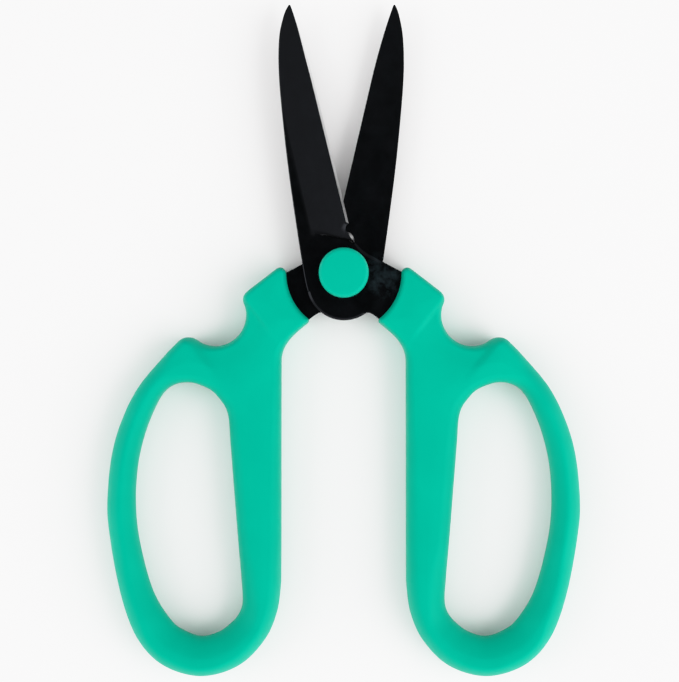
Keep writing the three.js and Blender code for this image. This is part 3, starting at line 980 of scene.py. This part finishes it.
handle_points, handle_faces = handle_surface()
show(make_object("detailed_right_handle", handle_points, handle_faces, [HANDLE_GREEN]),
     "right_handle")
show(make_object("detailed_left_handle", handle_points * (-1, 1, 1), handle_faces[:, ::-1], [HANDLE_GREEN]),
     "left_handle")
show(make_blade("upper_blade", 0.0, True, False, [BLACK, BEVEL_STEEL]), "upper_blade")
show(make_blade("lower_blade", LOWER_SPINE_INSET, False, True, [BLACK, BEVEL_STEEL]),
     "lower_blade")
show(turned_object("detailed_pivot_cap", cap_profile(), [CAP_GREEN]), "pivot_cap")
show(turned_object("detailed_pivot_bolt", bolt_profile(), [PLATED]), "pivot_bolt")

for hidden, metal in (("pivot_nut", PLATED), ("flat_washer", PLATED), ("wave_washer", SPRING)):
    mesh = frame["nodes"][hidden].data
    mesh.materials.clear()
    mesh.materials.append(metal)


# ---- stage: pale board, soft sky, large key lamp from the right, fill lamp from the left ----

FLOOR_HALF = 8.0
FLOOR_DROP = 0.0002
SKY_STRENGTH = 0.94
SKY_OVERHEAD = 0.0
SKY_LEAN = (0.0, -0.65, 0.0)
OVERHEAD_EDGE = (0.96, 0.999)
KEY_PLACE = (0.76, -0.22, 0.62)
KEY_SIZE = 0.85
KEY_POWER = 8.2
FILL_PLACE = (-0.78, 0.0, 0.43)
FILL_SIZE = 0.7
FILL_POWER = 3.8
LAMP_AIM = (0, -0.015, 0)
ROLL_OFF_START = 0.6
ROLL_OFF_WHITE = 1.0
ROLL_OFF_RANGE = 2.0
ROLL_OFF_STEPS = 20


def add_floor():
    mesh = bpy.data.meshes.new("table")
    half = FLOOR_HALF
    corners = [(-half, -half, 0), (half, -half, 0), (half, half, 0), (-half, half, 0)]
    mesh.from_pydata(corners, [], [(0, 1, 2, 3)])
    mesh.materials.append(table_surface("pale_board"))
    floor = bpy.data.objects.new("table", mesh)
    floor.location.z = -FLOOR_DROP
    bpy.context.collection.objects.link(floor)


def add_area_light(name, place, size, power):
    data = bpy.data.lights.new(name, "AREA")
    data.shape = "SQUARE"
    data.size = size
    data.energy = power
    lamp = bpy.data.objects.new(name, data)
    lamp.location = place
    lamp.visible_camera = False
    aim = Vector(LAMP_AIM) - Vector(place)
    lamp.rotation_euler = aim.to_track_quat("-Z", "Y").to_euler()
    bpy.context.collection.objects.link(lamp)


def add_sky():
    """White all round, darker straight overhead, and stronger on the side of the handles."""
    world = bpy.data.worlds.new("studio")
    world.use_nodes = True
    background = world.node_tree.nodes["Background"]
    background.inputs["Color"].default_value = (1.0, 1.0, 1.0, 1)
    nodes, links = world.node_tree.nodes, world.node_tree.links
    direction = nodes.new("ShaderNodeTexCoord").outputs["Generated"]
    height = nodes.new("ShaderNodeSeparateXYZ")
    links.new(direction, height.inputs[0])
    fade = nodes.new("ShaderNodeMapRange")
    links.new(height.outputs["Z"], fade.inputs["Value"])
    for socket, value in (("From Min", OVERHEAD_EDGE[0]), ("From Max", OVERHEAD_EDGE[1]),
                          ("To Min", SKY_STRENGTH), ("To Max", SKY_OVERHEAD)):
        fade.inputs[socket].default_value = value
    lean = nodes.new("ShaderNodeVectorMath")
    lean.operation = "DOT_PRODUCT"
    links.new(direction, lean.inputs[0])
    lean.inputs[1].default_value = SKY_LEAN
    strength = nodes.new("ShaderNodeMath")
    strength.operation = "MULTIPLY_ADD"
    links.new(lean.outputs["Value"], strength.inputs[0])
    links.new(fade.outputs[0], strength.inputs[1])
    links.new(fade.outputs[0], strength.inputs[2])
    links.new(strength.outputs[0], background.inputs["Strength"])
    bpy.context.scene.world = world


def rolled_off(value):
    """Leaves the middle tones as they are and rolls the highlights off below pure white."""
    room = ROLL_OFF_WHITE - ROLL_OFF_START
    if value <= ROLL_OFF_START:
        return value
    return ROLL_OFF_START + room * (1 - math.exp((ROLL_OFF_START - value) / room))


def soften_highlights():
    view = bpy.context.scene.view_settings
    view.view_transform = "Standard"
    view.use_curve_mapping = True
    mapping = view.curve_mapping
    mapping.white_level = (ROLL_OFF_RANGE,) * 3
    curve = mapping.curves[3]
    for step in range(1, ROLL_OFF_STEPS):
        value = step / ROLL_OFF_STEPS * ROLL_OFF_RANGE
        curve.points.new(value / ROLL_OFF_RANGE, rolled_off(value))
    curve.points[-1].location = (1.0, rolled_off(ROLL_OFF_RANGE))
    mapping.update()


add_floor()
add_sky()
add_area_light("key", KEY_PLACE, KEY_SIZE, KEY_POWER)
add_area_light("fill", FILL_PLACE, FILL_SIZE, FILL_POWER)
soften_highlights()
